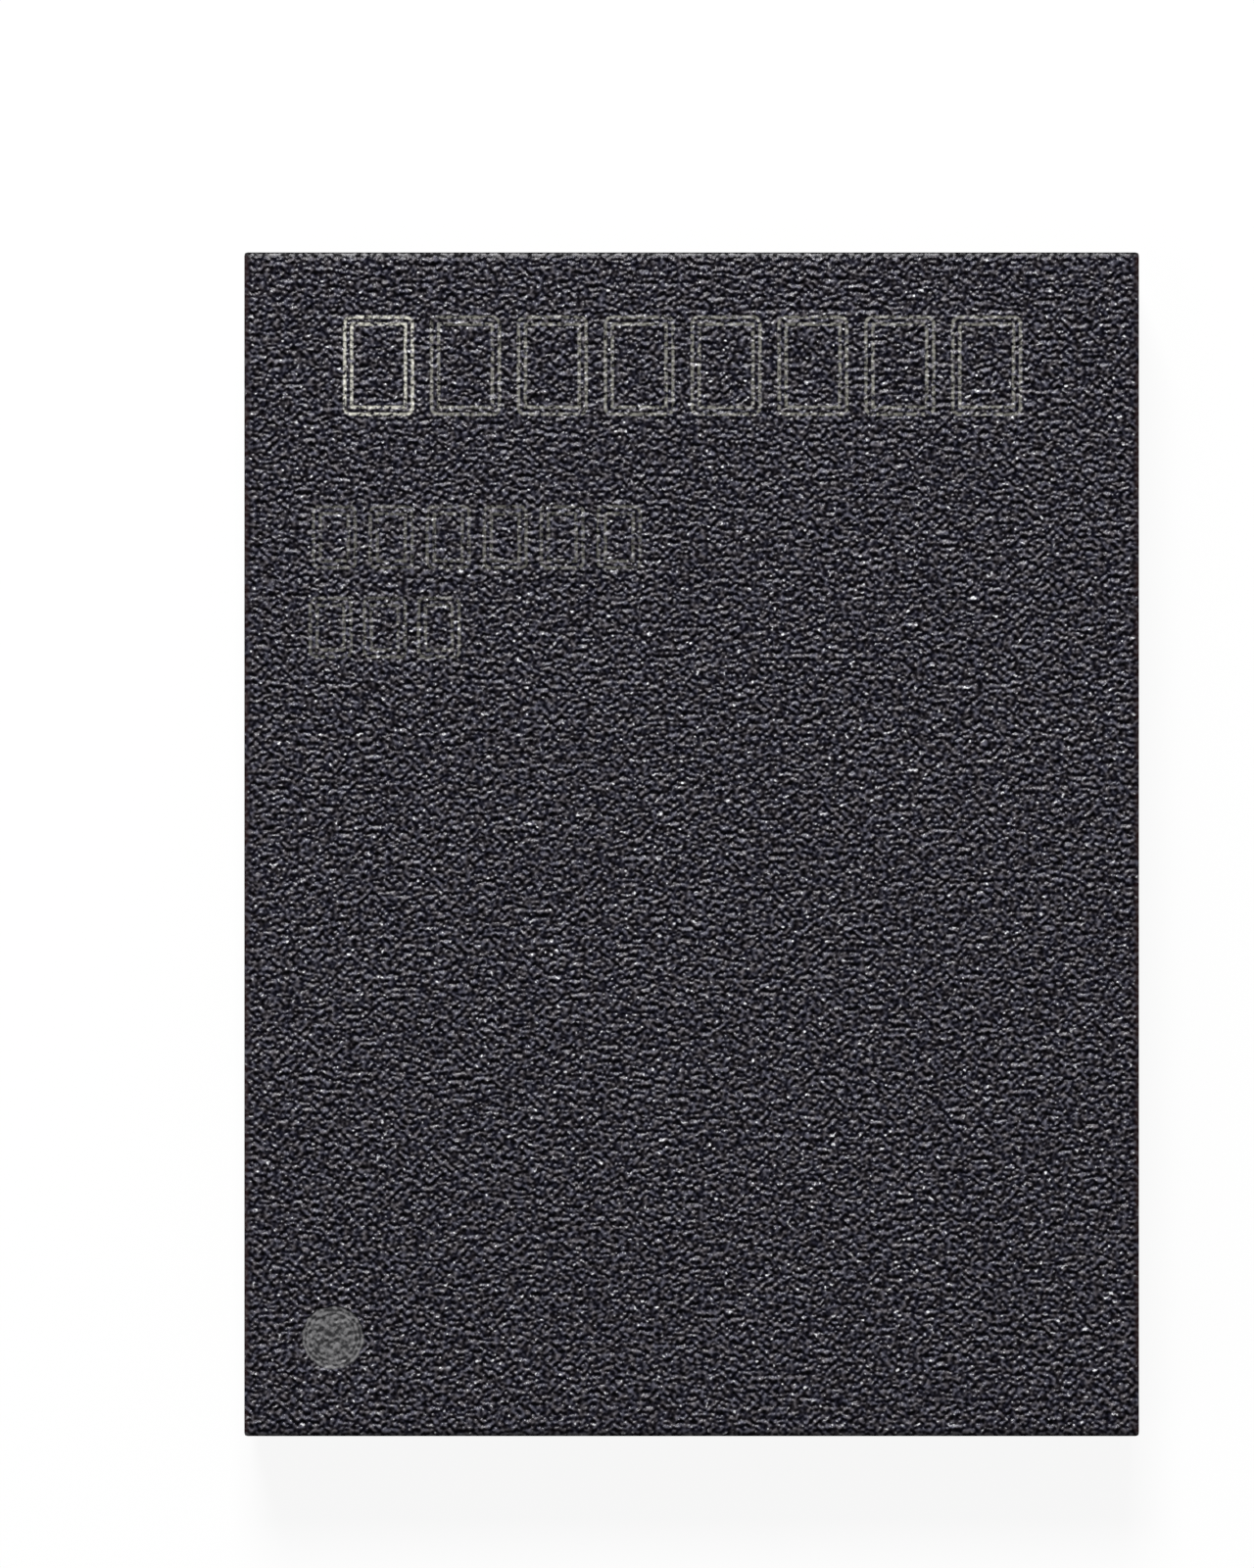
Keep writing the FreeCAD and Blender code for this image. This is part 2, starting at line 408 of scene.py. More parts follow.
@dataclass(frozen=True)
class MouldFinish(OutlinedFinish):
    """Black moulding compound with the coarse grain of an electrically eroded mould, with painted light,
    shade and glints on the grain.
    """

    name: str = "spark_grained_compound"
    dot: tuple[float, float, float] = (0.0, 0.0, 0.0)
    marks: tuple[MarkRow, ...] = ()
    # Painted light and shade of the grain: a near-black painted pit shade, midtones and painted highlight
    # colours, in a cool and a warm hue.
    painted_pit_shade: Colour = (0.001, 0.001, 0.0015)
    cool_midtone: Colour = (0.0083, 0.0080, 0.0158)
    cool_painted_highlight: Colour = (0.088, 0.086, 0.116)
    warm_midtone: Colour = (0.0108, 0.0089, 0.0119)
    warm_painted_highlight: Colour = (0.100, 0.090, 0.102)
    painted_glint_colour: Colour = (0.60, 0.60, 0.62)
    laser: Colour = (0.64, 0.625, 0.545)
    dot_pit: Colour = (0.021, 0.0208, 0.0225)
    dot_crest: Colour = (0.168, 0.166, 0.170)
    rim_stain: Colour = (0.020, 0.0095, 0.010)
    warp: Pattern = Pattern(0.11 * MM, 1.0)
    grain: Pattern = Pattern(0.039 * MM, 0.6, 0.45)
    warmth: Pattern = Pattern(0.09 * MM, shift=(0.3, 0.1, 0.0))
    painted_glints: Pattern = Pattern(0.040 * MM, 1.0, shift=(0.1, 0.9, 0.0))
    breaks: Pattern = Pattern(0.036 * MM, shift=(0.5, 0.2, 0.0))
    fray: Pattern = Pattern(0.05 * MM)
    speckle: Pattern = Pattern(0.032 * MM, roughness=0.6)
    stains: Pattern = Pattern(0.20 * MM)
    fine: Pattern = Pattern(0.011 * MM)
    fine_depth: float = 0.0016 * MM
    grain_depth: float = 0.034 * MM
    sway: float = 0.03 * MM
    painted_light_shift: float = 0.0122 * MM
    painted_light_gain: float = 1.28
    high_gain: float = 1.34
    relief_share: float = 0.15
    dot_edge: Span = (-0.010 * MM, 0.006 * MM)
    ring_pitch: float = 0.036 * MM
    ring_fray: float = 60 / MM
    ring_start: Span = (0.15 * MM, 0.22 * MM)
    side_stain: Span = (0.012 * MM, 0.055 * MM)
    end_darkening: Span = (0.014 * MM, 0.045 * MM)
    smooth_border: Span = (0.015 * MM, 0.075 * MM)
    roughness: float = 0.28
    specular: float = 0.28

    def _grain_and_painted_light(self, graph: Graph) -> tuple[Wire, Wire]:
        """The grain, and the painted light and shade on it: pits are painted darker, and slopes that face
        +Y are painted lighter as if lit by a lamp on that side.

        Args:
            graph: Graph of the material.

        Returns:
            Wires of the height and of the tone with its painted light and shade, both from 0 to 1.
        """
        sway = graph.point(0.0, (graph.noise(self.warp) - 0.5) * self.sway)
        bent = graph.vector("ADD", graph.place(), sway)
        painted_light_shift = graph.point(0.0, self.painted_light_shift)
        lumps, above, below = (
            graph.noise(self.grain, place)
            for place in (bent, graph.vector("ADD", bent, painted_light_shift), graph.vector("SUBTRACT", bent, painted_light_shift))
        )
        relief = graph.attribute("relief")
        height = (lumps - 0.5) * self.high_gain + (relief - 0.5) * self.relief_share
        # Painted light: the grain is read a little toward -Y and +Y, and the difference paints slopes
        # facing +Y lighter and slopes facing -Y darker; the height term paints the pits darker.
        tone = (below - above) * self.painted_light_gain + height + 0.5
        return lumps, tone.most(0.0).least(1.0)

    def _corner_mark(self, graph: Graph, x: Wire, y: Wire, tone: Wire) -> tuple[Wire, Wire]:
        """The sunk round mark, paler and with faint rings.

        Args:
            graph: Graph of the material.
            x: Place across the face in metres.
            y: Place along the face in metres.
            tone: Tone of the grain, with its painted light and shade.

        Returns:
            Wires of its mask and of its colour.
        """
        dot_x, dot_y, dot_radius = self.dot
        away = graph.length(x - dot_x, y - dot_y)
        frayed = (graph.noise(self.fray) - 0.5) * self.fray.size
        inside = (away + frayed).fall(*(dot_radius + edge for edge in self.dot_edge))
        rings = graph.math("SINE", away * (math.tau / self.ring_pitch) + frayed * self.ring_fray)
        rings = rings * away.rise(*self.ring_start)
        # Part of the tone, with its painted light and shade, shows in the dot's speckle.
        speckle = graph.noise(self.speckle) * 0.6 + tone * 0.4 + rings * 0.11
        return inside, graph.mix(speckle.rise(0.28, 0.74), self.dot_pit, self.dot_crest)

    def shader(self, graph: Graph) -> Wire:
        """Painted pit shade, midtones, painted highlights and painted glints on the grain, with the
        scratched boxes, the stained sides and the darker short ends.

        Args:
            graph: Graph of the material.

        Returns:
            The wire of the shader.
        """
        x, y, _ = graph.axes()
        lumps, tone = self._grain_and_painted_light(graph)
        # The colour follows the tone, from the painted pit shade to the painted highlight.
        cool = graph.ramp(tone, self.painted_pit_shade, self.cool_midtone, self.cool_painted_highlight)
        warm = graph.ramp(tone, self.painted_pit_shade, self.warm_midtone, self.warm_painted_highlight)
        colour = graph.mix(graph.noise(self.warmth).rise(0.35, 0.65), cool, warm)
        # Painted glints: pale specks on the crests that the painted light makes bright.
        painted_glints = graph.noise(self.painted_glints).rise(0.66, 0.74) * tone.rise(0.4, 0.9)
        colour = graph.mix(painted_glints, colour, self.painted_glint_colour)
        scratched = reduce(Wire.most, (row.mask(graph, x, y) for row in self.marks))
        scratched = scratched * graph.noise(self.breaks).rise(0.34, 0.60)
        colour = graph.mix(scratched, colour, self.laser)
        in_dot, mark = self._corner_mark(graph, x, y, tone)
        colour = graph.mix(in_dot, colour, mark)

        to_side, to_end = self.inward(x, y)
        stain = to_side.fall(*self.side_stain) * graph.noise(self.stains).rise(0.25, 0.6)
        colour = graph.mix(stain * 0.9, colour, self.rim_stain)
        # Darker towards the short ends, in the near-black of the painted pit shade.
        colour = graph.mix(to_end.fall(*self.end_darkening) * 0.8, colour, self.painted_pit_shade)

        worn = to_side.least(to_end).rise(*self.smooth_border)
        normal = graph.bump(lumps * ((1.0 - in_dot * 0.55) * worn), self.grain_depth)
        normal = graph.bump(graph.noise(self.fine), self.fine_depth, under=normal)
        dull = graph.coated(colour, 1.0, normal, specular=0.0)
        shiny = graph.coated(colour, self.roughness, normal, specular=self.specular)
        # Shine is strongest where the tone, with its painted light, is high, on the scratched boxes and
        # in the dot.
        crested = tone.rise(0.2, 0.9).most(scratched).most(in_dot * 0.5)
        return graph.blend(crested * 0.9 + 0.05, dull, shiny)


@dataclass(frozen=True)
class SawnFinish(Finish):
    """A side that a dicing saw has cut, with fine marks along the cut."""

    name: str = "sawn_side"
    dark: Colour = (0.012, 0.012, 0.014)
    pale: Colour = (0.040, 0.038, 0.040)
    fleck: Colour = (0.085, 0.085, 0.090)
    fleck_share: float = 0.62
    saw: Pattern = Pattern(0.012 * MM, 3.0)
    saw_depth: float = 0.0022 * MM
    stretch: float = 0.12
    grain: Pattern = Pattern(0.040 * MM)
    grain_depth: float = 0.0020 * MM
    filler: float = 0.028 * MM
    roughness: float = 0.70

    def shader(self, graph: Graph) -> Wire:
        """Two shades with flecks of filler and the marks of the saw.

        Args:
            graph: Graph of the material.

        Returns:
            The wire of the shader.
        """
        x, y, z = graph.axes()
        saw = graph.noise(self.saw, graph.point(x * self.stretch, y * self.stretch, z))
        grain = graph.noise(self.grain)
        colour = graph.mix(grain.rise(0.3, 0.7), self.dark, self.pale)
        filler = graph.cells(self.filler).fall(0.10, 0.26)
        colour = graph.mix(filler * self.fleck_share, colour, self.fleck)
        normal = graph.bump(grain, self.grain_depth, under=graph.bump(saw, self.saw_depth))
        return graph.coated(colour, self.roughness + (saw - 0.5) * 0.2, normal, specular=0.06)


@dataclass(frozen=True)
class GlassResinFinish(Finish):
    """Sawn laminate: bundles of glass thread that end in brown resin."""

    name: str = "glass_resin"
    resin: Colour = (0.115, 0.082, 0.032)
    shade: Colour = (0.045, 0.036, 0.018)
    glass: Colour = (0.25, 0.225, 0.145)
    bundle: float = 0.46 * MM
    layer: float = 0.024 * MM
    thread: float = 0.007 * MM
    mottle: Pattern = Pattern(0.09 * MM, 3.0)
    depth: float = 0.0035 * MM

    def shader(self, graph: Graph) -> Wire:
        """Brown resin with layers of glass thread.

        Args:
            graph: Graph of the material.

        Returns:
            The wire of the shader.
        """
        x, y, z = graph.axes()
        wave = graph.math("SINE", (x + y) * (math.tau / self.bundle))
        layer = graph.math("SINE", z * (math.tau / self.layer) + wave * 1.4)
        thread = graph.cells(self.thread).fall(0.30, 0.55) * (layer * 0.5 + 0.5)
        mottle = graph.noise(self.mottle)
        colour = graph.mix(mottle.rise(0.30, 0.70), self.shade, self.resin)
        colour = graph.mix(thread * 0.55, colour, self.glass)
        normal = graph.bump(thread * 0.5 + mottle, self.depth)
        return graph.coated(colour, 0.6 + (mottle - 0.5) * 0.25, normal, specular=0.08)


@dataclass(frozen=True)
class CopperFinish(Finish):
    """Copper that has gone brown, with bright scratches."""

    name: str = "tarnished_copper"
    bright: Colour = (0.56, 0.27, 0.12)
    brown: Colour = (0.17, 0.075, 0.032)
    share: float = 0.45
    spread: float = 0.18
    patches: Pattern = Pattern(0.05 * MM, 4.0, 0.6)
    scratches: Pattern = Pattern(0.012 * MM, 3.0)
    depth: float = 0.0015 * MM

    def shader(self, graph: Graph) -> Wire:
        """Bright copper under brown patches.

        Args:
            graph: Graph of the material.

        Returns:
            The wire of the shader.
        """
        patches = graph.noise(self.patches)
        browned = patches.rise(self.share - self.spread, self.share + self.spread)
        colour = graph.mix(browned, self.bright, self.brown)
        normal = graph.bump(graph.noise(self.scratches), self.depth)
        return graph.coated(colour, 0.40 + patches * 0.25, normal, metallic=0.9)


@dataclass(frozen=True)
class PadPocketFinish(OutlinedFinish):
    """Outer copper as the openings of the lacquer show it: painted shade round the balls, bare
    and brown in the window at the corner."""

    name: str = "pad_pocket"
    corner_break: float = CORNER_BREAK
    window: Spot = (0.0, 0.0)
    reach: Span = (0.13 * MM, 0.14 * MM)
    sawn_rim: Span = (0.001 * MM, 0.003 * MM)
    # Painted shade in the openings round the balls, in a darker and a paler tone.
    pocket: Colour = (0.003, 0.0035, 0.0035)
    paler_pocket_shade: Colour = (0.010, 0.009, 0.007)
    bare: Colour = (0.26, 0.155, 0.070)
    brown: Colour = (0.040, 0.034, 0.022)
    sawn: Colour = (0.150, 0.078, 0.036)
    patches: Pattern = Pattern(0.045 * MM, 3.0, 0.6)
    grain: Pattern = Pattern(0.014 * MM, 3.0)
    depth: float = 0.0020 * MM

    def shader(self, graph: Graph) -> Wire:
        """Pockets in painted shade, a bare brown window and a sawn rim.

        Args:
            graph: Graph of the material.

        Returns:
            The wire of the shader.
        """
        x, y, _ = graph.axes()
        away = abs(x - self.window[0]).most(abs(y - self.window[1]))
        in_window = away.fall(*self.reach)
        patches = graph.noise(self.patches)
        even = patches.rise(0.35, 0.65)
        # Painted shade where the openings ring the balls, a little uneven.
        dark = graph.mix(even, self.pocket, self.paler_pocket_shade)
        copper = graph.mix(patches.rise(0.40, 0.54), self.bare, self.brown)
        to_side, to_end = self.inward(x, y)
        corner_sum = self.half_width + self.half_length - self.corner_break
        to_rim = to_side.least(to_end).least(corner_sum - abs(x) - abs(y))
        sawn = graph.mix(even, self.brown, self.sawn)
        colour = graph.mix(in_window, dark, copper)
        colour = graph.mix(to_rim.fall(*self.sawn_rim), colour, sawn)
        normal = graph.bump(graph.noise(self.grain), self.depth)
        return graph.coated(colour, 0.55 + patches * 0.2, normal, 0.08, in_window * 0.5)


@dataclass(frozen=True)
class SiliconFinish(Finish):
    """Ground back of a silicon chip."""

    name: str = "ground_silicon"
    dark: Colour = (0.075, 0.080, 0.090)
    pale: Colour = (0.135, 0.140, 0.155)
    swirl: Pattern = Pattern(0.03 * MM, 3.0)
    stretch: float = 0.15
    slant: float = 0.4
    depth: float = 0.0008 * MM

    def shader(self, graph: Graph) -> Wire:
        """Faint swirls of the grinding.

        Args:
            graph: Graph of the material.

        Returns:
            The wire of the shader.
        """
        x, y, z = graph.axes()
        drawn = graph.point(x * self.stretch + y * self.slant, y * self.stretch, z)
        swirl = graph.noise(self.swirl, drawn)
        colour = graph.mix(swirl.rise(0.3, 0.7), self.dark, self.pale)
        return graph.coated(colour, 0.24 + swirl * 0.15, graph.bump(swirl, self.depth), metallic=0.6)


@dataclass(frozen=True)
class SolderFinish(Finish):
    """Solder of the balls: bright and grainy, with dark specks and dented tips."""

    name: str = "solder_ball"
    bright: Colour = (0.66, 0.645, 0.62)
    grey: Colour = (0.25, 0.24, 0.23)
    speck: Colour = (0.050, 0.045, 0.038)
    warm: Colour = (0.50, 0.42, 0.30)
    frost: Pattern = Pattern(0.042 * MM, 3.0, 0.55)
    frost_depth: float = 0.004 * MM
    tints: Pattern = Pattern(0.30 * MM, 1.0, shift=(0.2, 0.4, 0.1))
    specks: Pattern = Pattern(0.024 * MM, 2.5, 0.65, (0.1, 0.3, 0.2))
    dents: Pattern = Pattern(0.088 * MM, 2.2, 0.55, (0.6, 0.0, 0.3))
    dent_depth: float = 0.058 * MM
    tip: Span = (0.004 * MM, 0.045 * MM)

    def shader(self, graph: Graph) -> Wire:
        """Bright and grey frost with warm tints and dark specks.

        Args:
            graph: Graph of the material.

        Returns:
            The wire of the shader.
        """
        _, _, z = graph.axes()
        frost = graph.noise(self.frost)
        colour = graph.mix(frost.rise(0.34, 0.66), self.grey, self.bright)
        colour = graph.mix(graph.noise(self.tints).rise(0.48, 0.72) * 0.55, colour, self.warm)
        dark = graph.noise(self.specks).rise(0.54, 0.66) * 0.85
        colour = graph.mix(dark, colour, self.speck)
        low = z.fall(*self.tip)
        normal = graph.bump(graph.noise(self.dents), self.dent_depth)
        normal = graph.bump(frost, self.frost_depth, under=normal)
        rough = 0.30 + (frost - 0.5) * 0.3 + low * 0.10 + dark * 0.3
        return graph.coated(colour, rough, normal, metallic=0.92 - dark * 0.6)


@dataclass(frozen=True)
class CrustFinish(Finish):
    """Dry flux that was left beside some balls."""

    name: str = "dry_flux"
    pale: Colour = (0.42, 0.40, 0.30)
    brown: Colour = (0.13, 0.085, 0.040)
    lumps: Pattern = Pattern(0.018 * MM, 3.0, 0.65)
    depth: float = 0.010 * MM

    def shader(self, graph: Graph) -> Wire:
        """Pale crumbs with brown hollows.

        Args:
            graph: Graph of the material.

        Returns:
            The wire of the shader.
        """
        lumps = graph.noise(self.lumps)
        colour = graph.mix(lumps.rise(0.36, 0.64), self.brown, self.pale)
        return graph.coated(colour, 0.7, graph.bump(lumps, self.depth), specular=0.3)


@dataclass(frozen=True)
class LacquerFinish(OutlinedFinish):
    """Green lacquer: teal over copper, dark over bare laminate, olive and brown along the sawn edge."""

    name: str = "green_lacquer"
    traces: tuple[tuple[Vector, Vector], ...] = ()
    over_copper: Colour = (0.0037, 0.106, 0.080)
    deep_copper: Colour = (0.0030, 0.064, 0.050)
    over_resin: Colour = (0.0170, 0.0145, 0.0120)
    deep_resin: Colour = (0.0110, 0.0095, 0.0085)
    outline: Colour = (0.012, 0.112, 0.084)
    olive: Colour = (0.060, 0.142, 0.067)
    brown: Colour = (0.112, 0.084, 0.034)
    fleck: Colour = (0.22, 0.30, 0.20)
    ball_shade: Colour = (0.0030, 0.0055, 0.0050)
    wobble: Pattern = Pattern(0.07 * MM)
    sway: float = 0.045 * MM
    mottle: Pattern = Pattern(0.16 * MM, 3.0, 0.6)
    fine: Pattern = Pattern(0.020 * MM, 3.0, 0.6)
    specks: Pattern = Pattern(0.013 * MM, shift=(0.2, 0.2, 0.0))
    copper_edge: Span = (-0.007 * MM, 0.007 * MM)
    pad: Span = (0.153 * MM, 0.167 * MM)
    trace: Span = (0.014 * MM, 0.028 * MM)
    brim: Span = (0.004 * MM, 0.018 * MM)
    shade: Span = (0.155 * MM, 0.205 * MM)
    olive_edge: Span = (0.06 * MM, 0.19 * MM)
    brown_edge: Span = (0.016 * MM, 0.040 * MM)
    step: float = 0.0060 * MM
    ripple: float = 0.0045 * MM

    def _trace_distance(self, graph: Graph, place: Wire) -> Wire:
        """Distance to the nearest trace gap.

        Args:
            graph: Graph of the material.
            place: Point in the plane of the lacquer.

        Returns:
            The wire of the distance in metres.
        """
        distances = []
        for start, end in self.traces:
            run = end - start
            from_start = graph.vector("SUBTRACT", place, tuple(start))
            share = graph.vector("DOT_PRODUCT", from_start, tuple(run), result="Value")
            share = (share / run.length_squared).most(0.0).least(1.0)
            foot = graph.scaled(tuple(run), share)
            distances.append(graph.vector("DISTANCE", from_start, foot, result="Value"))
        return reduce(Wire.least, distances)

    def shader(self, graph: Graph) -> Wire:
        """Teal over copper, dark over resin, and olive to brown along the edge.

        Args:
            graph: Graph of the material.

        Returns:
            The wire of the shader.
        """
        x, y, _ = graph.axes()
        wobble = (graph.noise(self.wobble) - 0.5) * self.sway
        gap = graph.attribute("gap") + wobble
        away = self._trace_distance(graph, graph.point(x, y)) + wobble * 0.35
        from_ball = graph.attribute("from_ball")
        pad = from_ball.fall(*self.pad)
        copper = (gap.rise(*self.copper_edge) * away.rise(*self.trace)).most(pad)

        mottle = graph.noise(self.mottle)
        fine = graph.noise(self.fine)
        tone = (mottle * 0.7 + fine * 0.3).rise(0.34, 0.64)
        green = graph.mix(tone, self.deep_copper, self.over_copper)
        resin = graph.mix(tone, self.deep_resin, self.over_resin)
        colour = graph.mix(copper, resin, green)
        brim = abs(gap).fall(*self.brim) * copper * (1.0 - pad)
        colour = graph.mix(brim * 0.6, colour, self.outline)
        # Painted shade on the lacquer round each ball.
        colour = graph.mix(from_ball.fall(*self.shade) * 0.72, colour, self.ball_shade)

        to_side, to_end = self.inward(x, y)
        to_edge = to_side.least(to_end) + wobble * 0.8
        olive = to_edge.fall(*self.olive_edge)
        colour = graph.mix(olive * (0.55 + tone * 0.45), colour, self.olive)
        specks = graph.noise(self.specks).rise(0.60, 0.70)
        colour = graph.mix(specks * (olive * 0.6 + 0.12), colour, self.fleck)
        colour = graph.mix(to_edge.fall(*self.brown_edge), colour, self.brown)

        normal = graph.bump(copper, self.step)
        normal = graph.bump(mottle * 0.6 + fine * 0.4, self.ripple, under=normal)
        rough = 0.34 + (fine - 0.5) * 0.25 + olive * 0.12
        return graph.coated(colour, rough, normal, specular=0.08)


# Meshes


def link(name: str, bm: BMesh, materials: Iterable[Material]) -> Object:
    """Turns a bmesh into an object of the scene.

    Args:
        name: Name of the object.
        bm: Shape, with its place in its vertices. It is freed.
        materials: Materials in the order of the faces' material numbers.

    Returns:
        The new object.
    """
    made = bpy.data.objects.new(name, to_mesh(name, bm))
    for material in materials:
        made.data.materials.append(material)
    bpy.context.scene.collection.objects.link(made)
    return made


def to_mesh(name: str, bm: BMesh) -> Mesh:
    """Turns a bmesh into a mesh.

    Args:
        name: Name of the mesh.
        bm: Shape, which is freed.

    Returns:
        The new mesh.
    """
    mesh = bpy.data.meshes.new(name)
    bm.to_mesh(mesh)
    bm.free()
    return mesh


def to_piece(name: str, bm: BMesh, *finishes: Finish) -> Object:
    """Turns a bmesh into a piece that rides on the body and wears its finishes.

    Args:
        name: Name of the piece.
        bm: Shape, with its place in its vertices. It is freed.
        finishes: Finishes in the order of the faces' material numbers.

    Returns:
        The new piece.
    """
    piece = link(name, bm, [finish.material() for finish in finishes])
    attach(piece, BODY)
    LOG.info("%s: %d faces", name, len(piece.data.polygons))
    return piece


def of_kind(kind: type, result: Mapping[str, Iterable[Any]]) -> list[Any]:
    """What an operator gives back, of one kind."""
    return [item for item in result["geom"] if isinstance(item, kind)]


def open_edges(edges: Iterable[BMEdge]) -> list[BMEdge]:
    """The edges that only one face uses."""
    return [edge for edge in edges if edge.is_boundary]


def saw(faces: Iterable[BMFace]) -> None:
    """Makes faces sawn ones.

    Args:
        faces: Faces that get the second finish of their piece and sharp edges.
    """
    for face in faces:
        face.material_index = 1
        face.smooth = False


def trim(bm: BMesh, spot: Vector, way: Vector) -> None:
    """Cuts off what lies beyond a plane."""
    geom = [*bm.verts, *bm.edges, *bm.faces]
    bmesh.ops.bisect_plane(bm, geom=geom, plane_co=spot, plane_no=way, dist=ON_PLANE, clear_outer=True)


def clamped(value: float) -> float:
    """The value, kept between 0 and 1."""
    return min(max(value, 0.0), 1.0)


def squares(middle: float, size: float) -> range:
    """Numbers of the columns or rows of the lattice that a stretch comes near."""
    return range(math.floor(middle - size / 2) - 1, math.ceil(middle + size / 2) + 2)


class BallLattice:
    """Places of the solder balls, read from the rows of the frame."""

    def __init__(self) -> None:
        """Sorts the rows along Y and works out the lattice from them."""
        boxes = {name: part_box(name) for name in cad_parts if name.startswith("balls_row_")}
        middles = {name: (low.y + high.y) / 2 for name, (low, high) in boxes.items()}
        self.rows = sorted(boxes, key=middles.get)
        self.step = (middles[self.rows[-1]] - middles[self.rows[0]]) / (len(self.rows) - 1)
        longest = max(high.x - low.x for low, high in boxes.values())
        self.columns = 2 * int(longest / (2 * self.step)) + 1

    def spot(self, column: float, row: float) -> Vector:
        """The point of a place in the lattice, in metres."""
        across = (column - (self.columns - 1) / 2) * self.step
        return Vector((across, (row - (len(self.rows) - 1) / 2) * self.step, 0.0))

    def place(self, point: Vector) -> Spot:
        """Column and row of a point, as fractions."""
        return (point.x / self.step + (self.columns - 1) / 2,
                point.y / self.step + (len(self.rows) - 1) / 2)

    def sites(self, row: int) -> list[Vector]:
        """Centres of the balls of a row."""
        return [self.spot(column, row) for column in range(self.columns) if (column + row) % 2]

    def holds(self, column: int, row: int) -> bool:
        """Whether a place of the lattice has a ball."""
        inside = 0 <= column < self.columns and 0 <= row < len(self.rows)
        return inside and (column + row) % 2 == 1

    def nearest(self, point: Vector) -> float:
        """Distance from a point to the nearest ball centre.

        Args:
            point: Point of the lacquer.

        Returns:
            The distance in metres, or two steps where no ball is near.
        """
        column, row = self.place(point)
        near = product(squares(column, 0.0), squares(row, 0.0))
        away = [math.hypot(column - site[0], row - site[1]) for site in near if self.holds(*site)]
        return min([2.0, *away]) * self.step


